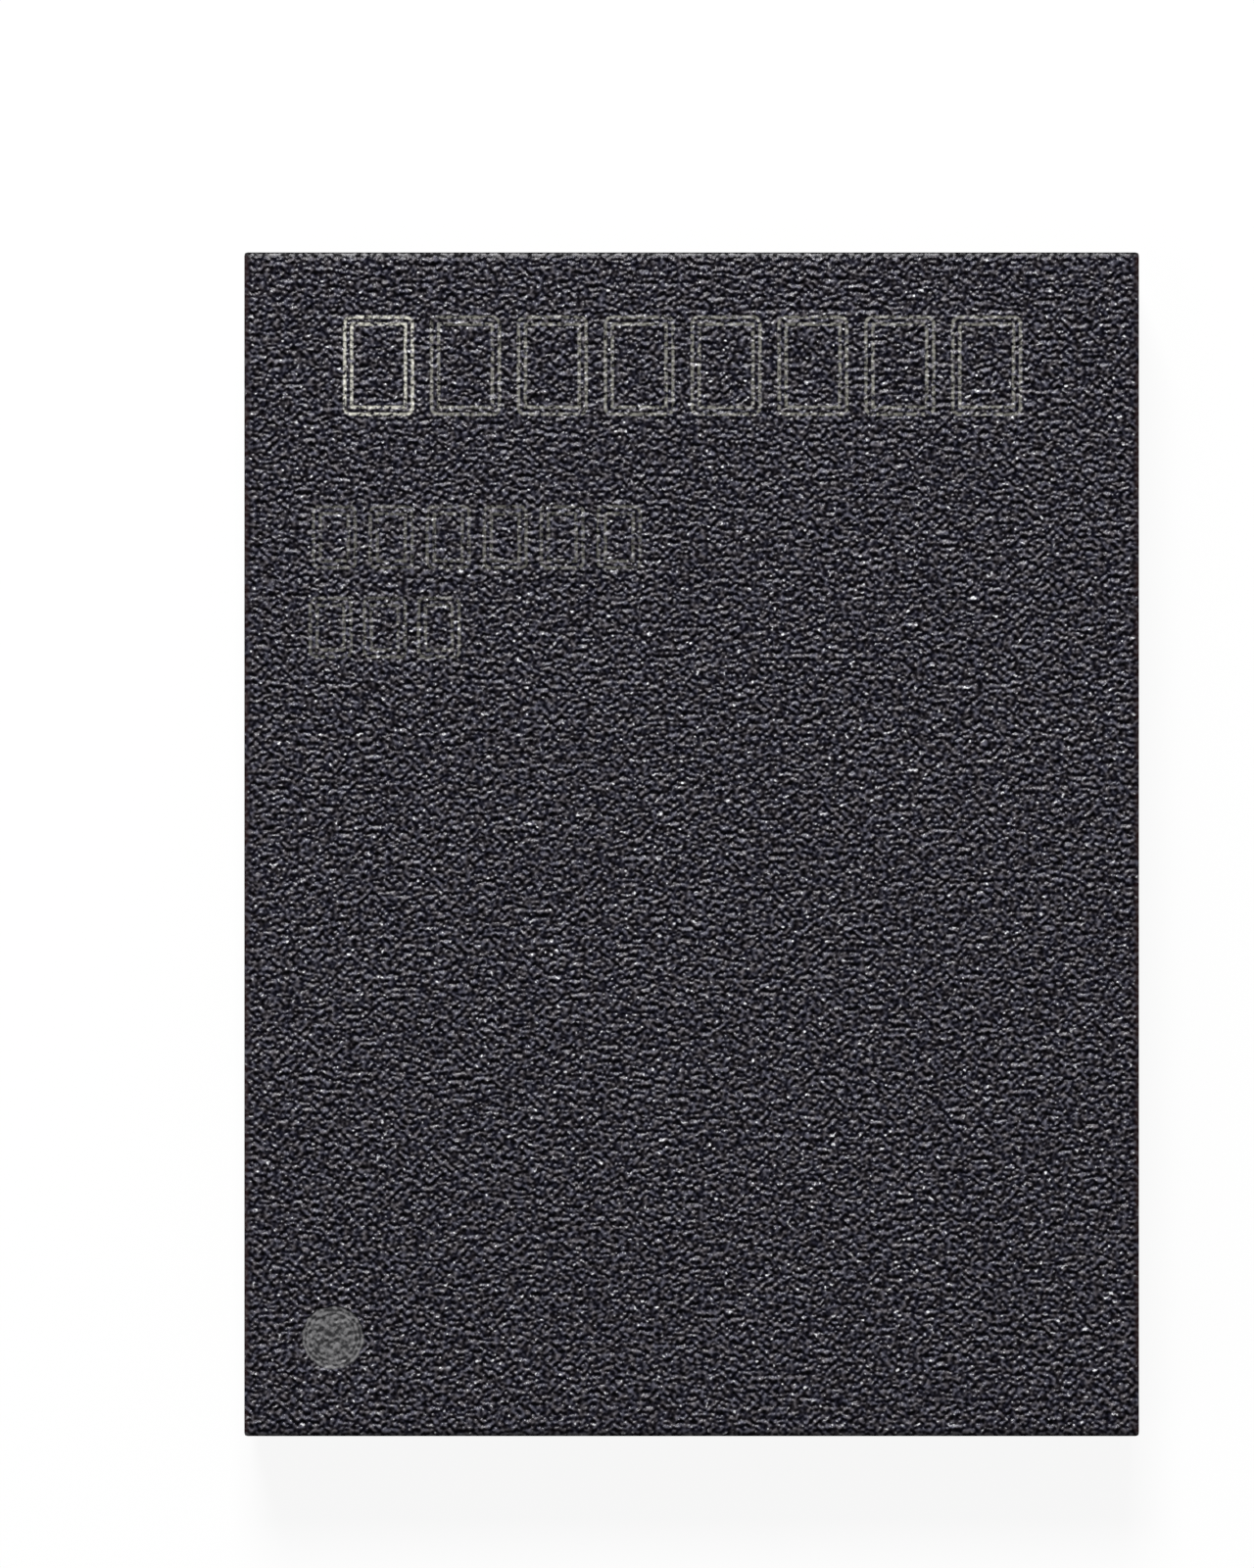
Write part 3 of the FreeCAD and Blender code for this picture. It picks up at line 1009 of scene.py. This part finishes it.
@dataclass
class MouldedCap:
    """The moulded compound over the chip. Its grained face is a fine grid with a rim and a skirt, which
    joins the lower part of the frame's own solid."""

    columns: int = 266
    rows: int = 352
    rim_width: float = 0.022 * MM
    rim_drop: float = 0.011 * MM
    rim_profile: tuple[Spot, ...] = ((0.18, 0.80), (0.0, 1.35))
    rim_jitter: float = 0.0012 * MM
    rim_seed: int = 5
    corner_radius: float = 0.045 * MM
    skirt: float = 0.050 * MM
    cut_below_face: float = 0.100 * MM
    smooth_border: float = 0.085 * MM
    grain_size: float = 0.078 * MM
    grain_depth: float = 0.0065 * MM
    finer_scale: float = 1.9
    finer_share: float = 0.4
    finer_shift: Place = (7.3, 1.1, 0.4)
    wave_size: float = 0.30 * MM
    wave_depth: float = 0.0030 * MM
    dot_radius: float = 0.280 * MM
    dot_depth: float = 0.012 * MM
    dot_grain: float = 0.4
    dot_inset: Spot = (0.785 * MM, 0.875 * MM)
    dot_wall: float = 0.005 * MM

    def __post_init__(self) -> None:
        """Reads the block's size from the frame."""
        low, self.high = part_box("mould_cap")
        self.half = Vector((self.high.x, self.high.y, 0.0))
        self.dot_centre = Vector((low.x + self.dot_inset[0], low.y + self.dot_inset[1]))

    @staticmethod
    def _marks() -> tuple[MarkRow, ...]:
        """Rows of plain boxes in the upper left of the face.

        Returns:
            The rows. The first box is a row of its own, because it is the brightest.
        """
        large = {"middle": 4.24 * MM, "pitch": 0.770 * MM, "width": 0.60 * MM, "height": 0.86 * MM,
                 "corner": 0.06 * MM}
        return (
            MarkRow(left=-3.16 * MM, count=1, strength=0.85, **large),
            MarkRow(left=-2.39 * MM, count=7, strength=0.33, **large),
            MarkRow(left=-3.42 * MM, middle=2.72 * MM, pitch=0.505 * MM, count=6,
                    width=0.37 * MM, height=0.54 * MM, strength=0.18),
            MarkRow(left=-3.44 * MM, middle=1.92 * MM, pitch=0.480 * MM, count=3,
                    width=0.36 * MM, height=0.52 * MM, strength=0.20),
        )

    def _grain(self, x: float, y: float) -> float:
        """Height of the grain at a point of the face.

        Args:
            x: Place across the face in metres.
            y: Place along the face in metres.

        Returns:
            A height from 0 to 1.
        """
        place = Vector((x, y, 0.0)) / self.grain_size
        finer = noise.noise(place * self.finer_scale + Vector(self.finer_shift))
        return clamped(0.5 + 0.5 * (noise.noise(place) + self.finer_share * finer))

    def _shape_vertex(self, vert: BMVert, relief: BMLayerItem) -> None:
        """Rounds the corner, lays down the grain and sinks the corner mark at one vertex.

        Args:
            vert: Vertex of the face.
            relief: Layer that keeps the height of the grain for the finish.
        """
        inner = self.half - Vector((self.corner_radius, self.corner_radius, 0.0))
        beyond = Vector((abs(vert.co.x) - inner.x, abs(vert.co.y) - inner.y))
        reach = self.corner_radius - self.rim_width
        if beyond.x > 0.0 and beyond.y > 0.0 and beyond.length > reach:
            beyond = beyond.normalized() * reach
            vert.co.x = math.copysign(inner.x + beyond.x, vert.co.x)
            vert.co.y = math.copysign(inner.y + beyond.y, vert.co.y)
        from_dot = vert.co.xy - self.dot_centre
        gap = from_dot.length - self.dot_radius
        if abs(gap) < self.half.x / self.columns:
            snapped = self.dot_radius + math.copysign(self.dot_wall, gap)
            vert.co.xy = self.dot_centre + from_dot.normalized() * snapped
        x, y = vert.co.xy
        grain = self._grain(x, y)
        wave = 0.5 + 0.5 * noise.noise(Vector((x, y, 1.0)) / self.wave_size)
        border = min(self.half.x - abs(x), self.half.y - abs(y))
        fade = clamped((border - self.rim_width) / self.smooth_border)
        vert.co.z = self.high.z - self.wave_depth * wave * fade
        if gap < 0.0:
            vert.co.z -= self.dot_depth + self.dot_grain * self.grain_depth * (1.0 - grain)
        else:
            vert.co.z -= self.grain_depth * (1.0 - grain) * fade
        vert[relief] = grain * fade + 0.5 * (1.0 - fade)

    def _lower_part(self, bm: BMesh) -> list[BMEdge]:
        """Brings in the frame's solid below the cut, with the chip's pocket and the trench.

        Args:
            bm: Mesh that the part is added to.

        Returns:
            The open edges of the cut.
        """
        bm.from_mesh(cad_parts["mould_cap"].data)
        bmesh.ops.remove_doubles(bm, verts=bm.verts, dist=MERGED)
        trim(bm, Vector((0.0, 0.0, self.high.z - self.cut_below_face)), Vector((0.0, 0.0, 1.0)))
        saw(bm.faces)
        return open_edges(bm.edges)

    def _face(self, bm: BMesh, relief: BMLayerItem) -> list[BMEdge]:
        """Makes the grained face, its rim and its skirt.

        Args:
            bm: Mesh that they are added to.
            relief: Layer that keeps the height of the grain.

        Returns:
            The open edges of the skirt.
        """
        verts = bmesh.ops.create_grid(
            bm, x_segments=self.columns, y_segments=self.rows, size=1.0)["verts"]
        bmesh.ops.scale(bm, verts=verts,
                        vec=(self.half.x - self.rim_width, self.half.y - self.rim_width, 1.0))
        for vert in verts:
            self._shape_vertex(vert, relief)
            for face in vert.link_faces:
                face.smooth = True
        edges = open_edges(dict.fromkeys(edge for vert in verts for edge in vert.link_edges))
        chance = random.Random(self.rim_seed)
        inset = self.rim_width
        rings = [(inset * width, self.rim_drop * depth) for width, depth in self.rim_profile]
        for ring_inset, drop in (*rings, (0.0, self.skirt)):
            result = bmesh.ops.extrude_edge_only(bm, edges=edges)
            verts = of_kind(BMVert, result)
            bmesh.ops.scale(bm, verts=verts, vec=(
                (self.half.x - ring_inset) / (self.half.x - inset),
                (self.half.y - ring_inset) / (self.half.y - inset), 1.0))
            for vert in verts:
                vert.co.z = self.high.z - drop + chance.uniform(-1, 1) * self.rim_jitter
                vert[relief] = 0.5
            inset = ring_inset
            edges = open_edges(of_kind(BMEdge, result))
        for vert in verts:
            vert.co.z = self.high.z - self.skirt
            for face in vert.link_faces:
                face.material_index = 1
        return edges

    def build(self) -> Object:
        """Makes the cap out of its lower part, its face and a band between them.

        Returns:
            The piece that replaces the frame's cap.
        """
        bm = bmesh.new()
        relief = bm.verts.layers.float.new("relief")
        edges = self._lower_part(bm) + self._face(bm, relief)
        saw(bmesh.ops.bridge_loops(bm, edges=edges)["faces"])
        bmesh.ops.recalc_face_normals(bm, faces=bm.faces)
        finish = MouldFinish(half_width=self.half.x, half_length=self.half.y, marks=self._marks(),
                             dot=(*self.dot_centre, self.dot_radius))
        piece = to_piece("moulded_cap", bm, finish, SawnFinish(name="sawn_compound"))
        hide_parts("mould_cap")
        return piece


@dataclass
class BallSideLacquer:
    """The lacquer of the ball side, made of diamond cells that each hold one round opening. Gaps are
    column, row, width and length in steps of the lattice, and traces are lines from place to place."""

    lattice: BallLattice
    segments: int = 24
    opening_radius: float = 0.146 * MM
    rim_width: float = 0.014 * MM
    rim_rise: float = 0.009 * MM
    rings: tuple[float, ...] = (0.0, 0.42, 1.0)
    pad_radius: float = 0.160 * MM
    thickness: float = 0.020 * MM
    dip_depth: float = 0.006 * MM
    dip_slope: float = 0.02 * MM
    swell: float = 0.0015 * MM
    swell_size: float = 0.25 * MM
    corner_break: float = CORNER_BREAK
    window: float = 0.130 * MM
    window_inset: float = 0.215 * MM
    gaps: tuple[tuple[float, float, float, float], ...] = (
        (6.25, -0.14, 0.89, 1.01), (7.77, -0.18, 0.92, 0.92), (9.87, -0.14, 0.58, 1.01),
        (10.12, -0.52, 1.07, 0.25), (12.01, -0.57, 1.41, 0.21), (11.93, -0.23, 0.95, 0.46),
        (11.96, 0.32, 1.01, 0.28), (11.06, 0.69, 0.92, 0.52), (8.68, 0.77, 0.77, 0.61),
        (11.35, 1.18, 0.34, 0.34), (6.97, 1.18, 0.74, 1.32), (6.36, 2.18, 0.49, 0.67),
        (5.01, 0.97, 0.80, 0.40), (2.95, 0.74, 0.80, 0.18), (3.72, 0.31, 0.49, 0.49),
        (18.18, 0.62, 0.90, 0.90), (21.90, -0.09, 1.54, 1.04), (23.97, -0.12, 1.38, 0.98),
        (25.00, 0.98, 0.92, 0.80), (22.74, 0.97, 0.52, 0.95), (22.31, 2.02, 0.46, 0.92),
        (19.98, 2.21, 0.71, 0.74), (18.26, 2.19, 0.46, 0.46), (25.94, 1.86, 0.95, 0.34),
        (1.01, 3.21, 1.04, 0.71), (2.03, 3.99, 1.04, 0.86), (1.03, 4.48, 1.01, 0.31),
        (0.02, 3.97, 1.01, 0.15), (-0.15, 6.20, 1.04, 0.98), (0.80, 6.83, 0.86, 0.71),
        (2.17, 5.87, 0.77, 0.28), (1.78, 7.98, 0.25, 0.86), (0.83, 8.97, 0.68, 1.13),
        (1.75, 9.68, 1.17, 0.40), (0.15, 10.26, 0.61, 0.40), (0.78, 11.01, 0.77, 0.80),
        (0.02, 11.87, 0.71, 0.92), (1.86, 11.49, 1.38, 0.40), (0.75, 12.91, 0.28, 0.80),
        (1.34, 13.31, 0.34, 0.43), (0.03, 13.96, 0.86, 0.86), (1.83, 14.06, 0.58, 0.77),
        (-0.21, 15.90, 0.80, 0.77), (0.89, 16.95, 0.86, 0.71), (-0.11, 17.94, 0.95, 0.92),
        (0.97, 18.93, 0.28, 0.55), (1.80, 17.91, 0.21, 0.49), (2.09, 15.92, 0.31, 0.37),
        (-0.27, -0.26, 0.84, 0.76),
    )
    traces: tuple[tuple[Spot, ...], ...] = (
        ((20.24, -0.61), (20.18, 0.31), (20.50, 0.92), (21.20, 1.20)),
        ((1.07, 0.71), (-0.06, 2.06), (-0.12, 2.42)), ((1.14, 2.30), (1.75, 1.62), (2.43, 2.05)),
        ((3.60, 2.06), (4.36, 2.42)), ((12.35, 1.75), (12.60, 1.40), (13.40, 1.40)),
        ((14.50, 1.41), (14.90, 0.58)), ((23.50, 1.93), (24.50, 1.93)), ((26.57, 2.09), (26.57, 3.04)),
        ((-0.68, 11.26), (-0.68, 13.68)), ((5.66, 2.40), (5.72, 2.00), (6.50, 1.84)),
        ((-0.52, 4.00), (-0.52, 5.00)), ((1.95, 2.75), (2.43, 2.05)),
    )

    def __post_init__(self) -> None:
        """Reads the sheet's size from the frame."""
        self.low, self.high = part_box("bottom_solder_mask")
        inset = Vector((self.window_inset, self.window_inset))
        self.window_centre = (self.low.xy + inset).to_3d()

    def _cell(self, is_open: bool) -> Mesh:
        """Makes one diamond cell at the origin.

        Args:
            is_open: Whether it has an opening for a ball.

        Returns:
            The cell as a mesh, which is copied to its places.
        """
        bm = bmesh.new()
        made = bmesh.ops.create_circle(
            bm, segments=self.segments, radius=self.opening_radius, cap_ends=not is_open,
            matrix=Matrix.Translation((0.0, 0.0, self.low.z)),
        )
        edges = list(bm.edges)
        if is_open:
            bmesh.ops.translate(bm, verts=made["verts"], vec=(0.0, 0.0, self.rim_rise))
        for share in self.rings:
            result = bmesh.ops.extrude_edge_only(bm, edges=edges)
            ring = of_kind(BMVert, result)
            for vert in ring:
                way = vert.co.xy.normalized()
                corner = self.lattice.step / (abs(way.x) + abs(way.y))
                start = self.opening_radius + self.rim_width
                vert.co.xy = way * (start + (corner - start) * share)
                vert.co.z = self.low.z
            edges = [edge for edge in of_kind(BMEdge, result) if set(edge.verts) <= set(ring)]
        return to_mesh("cell", bm)

    def _lay_cells(self, bm: BMesh) -> None:
        """Copies the cells to all places of the lattice and just round it.

        Args:
            bm: Mesh that the cells are added to.
        """
        cells = [self._cell(is_open) for is_open in (False, True)]
        for row in range(-1, len(self.lattice.rows) + 1):
            for column in range(-1, self.lattice.columns + 1):
                if (column + row) % 2:
                    cell = cells[self.lattice.holds(column, row)]
                    spot = self.lattice.spot(column, row)
                    cell.transform(Matrix.Translation(spot))
                    bm.from_mesh(cell)
                    cell.transform(Matrix.Translation(-spot))
        bmesh.ops.remove_doubles(bm, verts=bm.verts, dist=MERGED)

    def _trim(self, bm: BMesh) -> None:
        """Cuts the sheet to the sawn outline with its broken corners.

        Args:
            bm: Mesh of the sheet.
        """
        signs = (-1.0, 1.0)
        for sign in signs:
            planes = [(Vector((sign * self.high.x, 0.0, 0.0)), Vector((sign, 0.0, 0.0))),
                      (Vector((0.0, sign * self.high.y, 0.0)), Vector((0.0, sign, 0.0)))]
            for other in signs:
                corner = Vector((sign * (self.high.x - self.corner_break), other * self.high.y, 0.0))
                planes.append((corner, Vector((sign, other, 0.0)).normalized()))
            for spot, way in planes:
                trim(bm, spot, way)

    def _open_window(self, bm: BMesh) -> None:
        """Cuts the square window out of the sheet.

        Args:
            bm: Mesh of the sheet.
        """
        centre, reach = self.window_centre, self.window / 2
        near = [face for face in bm.faces
                if (face.calc_center_median() - centre).xy.length < 3 * self.window]
        result = {"geom": list(dict.fromkeys(
            item for face in near for item in (*face.verts, *face.edges, face)))}
        for way in (Vector((1, 0, 0)), Vector((-1, 0, 0)), Vector((0, 1, 0)), Vector((0, -1, 0))):
            result = bmesh.ops.bisect_plane(bm, geom=result["geom"], plane_co=centre + way * reach,
                                            plane_no=way, dist=ON_PLANE)
        inside = [face for face in of_kind(BMFace, result)
                  if max(map(abs, (face.calc_center_median() - centre).xy)) < reach]
        bmesh.ops.delete(bm, geom=inside, context="FACES")

    def _gap_boxes(self) -> dict[tuple[int, int], list[tuple[Vector, float, float]]]:
        """Files the gaps in the copper by their place.

        Returns:
            Centre and half sizes of the gaps, under each lattice square that they come near.
        """
        boxes: dict[tuple[int, int], list[tuple[Vector, float, float]]] = {}
        half = self.lattice.step / 2
        for column, row, width, length in self.gaps:
            box = (self.lattice.spot(column, row), width * half, length * half)
            for square in product(squares(column, width), squares(row, length)):
                boxes.setdefault(square, []).append(box)
        return boxes

    def _gap_distance(self, point: Vector, boxes: Mapping[tuple[int, int], Sequence[Any]]) -> float:
        """Distance from a point to the nearest gap in the copper, negative within one.

        Args:
            point: Point of the sheet.
            boxes: Gaps under their lattice squares.

        Returns:
            The distance in metres, or the lattice step where no gap is near.
        """
        column, row = self.lattice.place(point)
        best = self.lattice.step
        for centre, half_width, half_length in boxes.get((math.floor(column), math.floor(row)), ()):
            side = abs(point.x - centre.x) - half_width
            end = abs(point.y - centre.y) - half_length
            away = math.hypot(side, end) if min(side, end) > 0.0 else max(side, end)
            best = min(best, away)
        return best

    def _measure(self, bm: BMesh) -> None:
        """Keeps each vertex's distance to gaps and balls, and sinks the lacquer over the gaps.

        Args:
            bm: Mesh of the sheet.
        """
        gap = bm.verts.layers.float.new("gap")
        from_ball = bm.verts.layers.float.new("from_ball")
        boxes = self._gap_boxes()
        for vert in bm.verts:
            vert[gap] = self._gap_distance(vert.co, boxes)
            vert[from_ball] = self.lattice.nearest(vert.co)
            bare = clamped(0.5 - vert[gap] / self.dip_slope)
            if vert[from_ball] < self.pad_radius:
                bare = 0.0
            swell = noise.noise(vert.co / self.swell_size)
            vert.co.z += self.dip_depth * bare + self.swell * (0.5 + 0.5 * swell)

    def _thicken(self, bm: BMesh) -> None:
        """Gives the sheet its back and its walls.

        Args:
            bm: Mesh of the sheet.
        """
        bmesh.ops.recalc_face_normals(bm, faces=bm.faces)
        if sum(face.normal.z for face in bm.faces) > 0.0:
            bmesh.ops.reverse_faces(bm, faces=bm.faces)
        result = bmesh.ops.extrude_face_region(bm, geom=list(bm.faces), use_keep_orig=True)
        for vert in of_kind(BMVert, result):
            vert.co.z = self.low.z + self.thickness
        bmesh.ops.reverse_faces(bm, faces=of_kind(BMFace, result))
        for face in bm.faces:
            face.smooth = abs(face.normal.z) >= 0.5
        bmesh.ops.recalc_face_normals(bm, faces=bm.faces)

    def build(self) -> Object:
        """Makes the sheet and its finish.

        Returns:
            The piece that replaces the frame's lacquer.
        """
        bm = bmesh.new()
        self._lay_cells(bm)
        self._trim(bm)
        self._open_window(bm)
        self._measure(bm)
        self._thicken(bm)
        traces = tuple((self.lattice.spot(*start), self.lattice.spot(*end))
                       for line in self.traces for start, end in zip(line, line[1:]))
        finish = LacquerFinish(half_width=self.high.x, half_length=self.high.y, traces=traces)
        piece = to_piece("ball_side_lacquer", bm, finish)
        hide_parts("bottom_solder_mask")
        return piece


@dataclass
class SolderBalls:
    """Rows of solder balls. Each ball is spun from its own profile and dented a little."""

    lattice: BallLattice
    segments: int = 12
    seat_depth: float = 0.022 * MM
    seat_radius: float = 0.112 * MM
    belly_radius: float = 0.135 * MM
    belly_spread: Span = (0.97, 1.0)
    sides: tuple[Spot, ...] = ((0.985, 0.72), (0.945, 0.38), (0.680, 0.105))
    tip_radius: Span = (0.040 * MM, 0.058 * MM)
    dimple: Span = (0.001 * MM, 0.007 * MM)
    dent: float = 0.0065 * MM
    dent_size: float = 0.05 * MM
    dent_top: float = 0.8
    seed: int = 11

    def _profile(self, height: float, chance: random.Random) -> list[Spot]:
        """Radius and height of the points of one ball's profile.

        Args:
            height: Stand-off from the floor to the lacquer.
            chance: Source of random numbers.

        Returns:
            The points from the seat to the tip, in metres.
        """
        belly = self.belly_radius * chance.uniform(*self.belly_spread)
        tip = chance.uniform(*self.tip_radius)
        dimple = chance.uniform(*self.dimple)
        seat = height + self.seat_depth
        sides = [(belly * width, height * level) for width, level in self.sides]
        return [(0.0, seat), (self.seat_radius, seat), *sides, (tip, 0.0), (0.0, dimple)]

    def _ball(self, bm: BMesh, centre: Vector, height: float, chance: random.Random) -> None:
        """Spins one ball.

        Args:
            bm: Mesh that the ball is added to.
            centre: Middle of the ball in the plane of the lattice.
            height: Stand-off from the floor to the lacquer.
            chance: Source of random numbers.
        """
        known = set(bm.verts)
        turn = Matrix.Rotation(chance.uniform(0.0, math.tau), 4, "Z")
        points = [bm.verts.new(centre + turn @ Vector((radius, 0.0, z)))
                  for radius, z in self._profile(height, chance)]
        edges = [bm.edges.new(pair) for pair in zip(points, points[1:])]
        bmesh.ops.spin(bm, geom=points + edges, cent=centre, axis=(0.0, 0.0, 1.0),
                       angle=math.tau, steps=self.segments, use_merge=True, use_duplicate=False)
        bmesh.ops.remove_doubles(bm, verts=[vert for vert in bm.verts if vert not in known], dist=MERGED)
        for vert in bm.verts:
            away = vert.co.xy - centre.xy
            if vert not in known and 0.0 < vert.co.z < height * self.dent_top and away.length > self.dent:
                shift = noise.noise(vert.co / self.dent_size) * self.dent
                vert.co.xy = centre.xy + away * (1.0 - abs(shift) / away.length)

    def build(self) -> list[Object]:
        """Makes one piece for each row of the frame.

        Returns:
            The pieces, in the order of the rows.
        """
        chance = random.Random(self.seed)
        pieces = []
        for index, row in enumerate(self.lattice.rows):
            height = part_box(row)[1].z
            bm = bmesh.new()
            for centre in self.lattice.sites(index):
                self._ball(bm, centre, height, chance)
            bmesh.ops.recalc_face_normals(bm, faces=bm.faces)
            for face in bm.faces:
                face.smooth = True
            letters = row.removeprefix("balls_row_")
            piece = to_piece(f"solder_row_{letters}", bm, SolderFinish())
            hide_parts(row)
            pieces.append(piece)
        return pieces


@dataclass
class FluxCrust:
    """Crumbs of dry flux beside a few balls: column, row and radius in millimetres."""

    lattice: BallLattice
    places: tuple[tuple[float, float, float], ...] = (
        (0.36, 1.30, 0.040), (-0.42, 1.16, 0.030), (19.62, 1.32, 0.045), (0.34, 6.70, 0.038),
        (0.05, 8.36, 0.050), (-0.40, 8.85, 0.034), (0.30, 9.30, 0.042), (1.42, 6.10, 0.034),
        (1.62, 11.76, 0.040), (2.42, 12.30, 0.046), (1.92, 12.62, 0.036), (-0.30, 33.40, 0.038),
        (2.40, 34.66, 0.040), (24.62, 3.42, 0.036), (26.36, 9.30, 0.034), (25.60, 30.40, 0.038),
    )
    spread: Span = (0.7, 1.3)
    flatness: float = 0.55
    lumpiness: float = 0.45
    lump_share: float = 0.7
    seed: int = 3

    def build(self) -> Object:
        """Makes the crumbs.

        Returns:
            The one piece that holds them all.
        """
        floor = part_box("bottom_solder_mask")[0].z
        bm = bmesh.new()
        chance = random.Random(self.seed)
        for column, row, radius in self.places:
            size = radius * MM
            centre = self.lattice.spot(column, row) + Vector((0.0, 0.0, floor))
            made = bmesh.ops.create_icosphere(bm, subdivisions=2, radius=size)
            sides = (chance.uniform(*self.spread), chance.uniform(*self.spread))
            stretch = Vector((*sides, self.flatness))
            shift = Vector((chance.random(), chance.random(), chance.random())) * 50
            for vert in made["verts"]:
                lump = 1.0 + self.lumpiness * noise.noise(vert.co / (size * self.lump_share) + shift)
                vert.co = vert.co * lump * stretch + centre
        piece = to_piece("flux_crust", bm, CrustFinish())
        return piece


@dataclass
class Carrier:
    """Laminate, copper and chip nodes that keep their shape and get a finish."""

    window: Vector

    def finishes(self) -> dict[Finish, tuple[str, ...]]:
        """Chooses a finish for each node that stays.

        Returns:
            Names of the nodes, under their finish.
        """
        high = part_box("bottom_copper")[1]
        return {
            GlassResinFinish(): ("lower_prepreg", "upper_prepreg"),
            GlassResinFinish(name="glass_resin_core", bundle=0.52 * MM): ("laminate_core",),
            CopperFinish(): ("upper_copper_plane", "lower_copper_plane", "bond_fingers",
                             "finger_vias", "core_vias", "lower_vias"),
            CopperFinish(name="pillar_copper", share=0.65): ("die_pillars",),
            PadPocketFinish(half_width=high.x, half_length=high.y,
                            window=(self.window.x, self.window.y)): ("bottom_copper",),
            SawnFinish(name="sawn_lacquer", dark=(0.0045, 0.026, 0.020), pale=(0.010, 0.060, 0.042),
                       fleck=(0.05, 0.12, 0.08), fleck_share=0.35, roughness=0.45): ("top_solder_mask",),
            SiliconFinish(): ("silicon_die",),
        }

    def dress(self) -> None:
        """Gives each node its finish."""
        for finish, names in self.finishes().items():
            for name in names:
                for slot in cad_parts[name].material_slots:
                    slot.material = finish.material()
            LOG.info("%s: %s", finish.name, ", ".join(names))


@dataclass
class Studio:
    """Plain white floor, soft lamps and the camera of the photograph."""

    picture: tuple[int, int] = (1280, 1600)
    metres_per_pixel: float = 0.008682 * MM
    chip_middle: Spot = (706.0, 861.5)
    lens: float = 150.0
    sensor: float = 36.0
    clip: Span = (0.001, 2.0)
    floor_half: float = 0.35
    ambient: float = 0.22
    floor_colour: Colour = (0.93, 0.93, 0.93)
    floor_glow: float = 0.90
    lamps: tuple[tuple[str, Place, float, float], ...] = (
        ("key", (-0.014, 0.115, 0.090), 0.054, 0.290),
        ("fill", (-0.050, -0.020, 0.060), 0.050, 0.008),
        ("low_key", (0.030, 0.045, -0.060), 0.040, 0.040),
    )

    def _floor(self) -> None:
        """A floor that the camera sees from above. It keeps the shadow and lets light from below by."""
        material = bpy.data.materials.new("white_floor")
        material.use_nodes = True
        graph = Graph(material.node_tree)
        paint = graph.out(graph.add("ShaderNodeBsdfDiffuse", sockets={"Color": self.floor_colour}))
        glow = graph.out(graph.add("ShaderNodeEmission", sockets={"Color": WHITE, "Strength": 1.0}))
        clear = graph.out(graph.add("ShaderNodeBsdfTransparent"))
        side = graph.out(graph.add("ShaderNodeNewGeometry"), "Backfacing")
        graph.finish(graph.blend(side, graph.blend(graph.seen() * self.floor_glow, paint, glow), clear))
        bm = bmesh.new()
        bmesh.ops.create_grid(bm, x_segments=1, y_segments=1, size=self.floor_half)
        floor = link("floor", bm, [material])
        for ray in ("diffuse", "glossy", "transmission", "shadow"):
            setattr(floor, f"visible_{ray}", False)

    def _world(self) -> None:
        """White where it is seen or mirrored, and a plain level of light elsewhere."""
        world = bpy.data.worlds.new("studio")
        bpy.context.scene.world = world
        world.use_nodes = True
        graph = Graph(world.node_tree)
        strength = self.ambient + graph.seen() * (1.0 - self.ambient)
        sky = graph.add("ShaderNodeBackground", sockets={"Color": WHITE, "Strength": strength})
        graph.finish(graph.out(sky), kind="ShaderNodeOutputWorld")

    @staticmethod
    def _lamp(name: str, spot: Vector, size: float, power: float) -> None:
        """A square lamp that points at the chip.

        Args:
            name: Name of the lamp.
            spot: Where it stands, in metres.
            size: Length of its side.
            power: Power in watts.
        """
        data = bpy.data.lights.new(name, "AREA")
        data.shape = "SQUARE"
        data.size = size
        data.energy = power
        lamp = bpy.data.objects.new(name, data)
        lamp.location = spot
        lamp.rotation_mode = "QUATERNION"
        lamp.rotation_quaternion = spot.to_track_quat("Z", "Y")
        bpy.context.scene.collection.objects.link(lamp)

    def _camera(self) -> None:
        """Looks straight down on the moulded face, framed as in the photograph."""
        width, height = self.picture
        data = bpy.data.cameras.new("camera")
        data.sensor_fit = "AUTO"
        data.sensor_width = self.sensor
        data.lens = self.lens
        data.clip_start, data.clip_end = self.clip
        camera = bpy.data.objects.new("camera", data)
        shift_x = (width / 2 - self.chip_middle[0]) * self.metres_per_pixel
        shift_y = (self.chip_middle[1] - height / 2) * self.metres_per_pixel
        away = height * self.metres_per_pixel * self.lens / self.sensor
        camera.location = (shift_x, shift_y, cad_high.z + away)
        bpy.context.scene.collection.objects.link(camera)
        bpy.context.scene.camera = camera

    def build(self) -> None:
        """Sets the whole studio up."""
        self._floor()
        self._world()
        for name, spot, size, power in self.lamps:
            self._lamp(name, Vector(spot), size, power)
        self._camera()
        bpy.context.scene.view_settings.view_transform = "Standard"
        LOG.info("studio: floor, world, lamps and camera")


def main() -> None:
    """Builds the sub-assemblies in order."""
    logging.basicConfig(level=logging.INFO, format="%(name)s %(message)s")
    lattice = BallLattice()
    MouldedCap().build()
    lacquer = BallSideLacquer(lattice)
    lacquer.build()
    SolderBalls(lattice).build()
    FluxCrust(lattice).build()
    Carrier(lacquer.window_centre).dress()
    Studio().build()


if __name__ == "__main__":
    main()
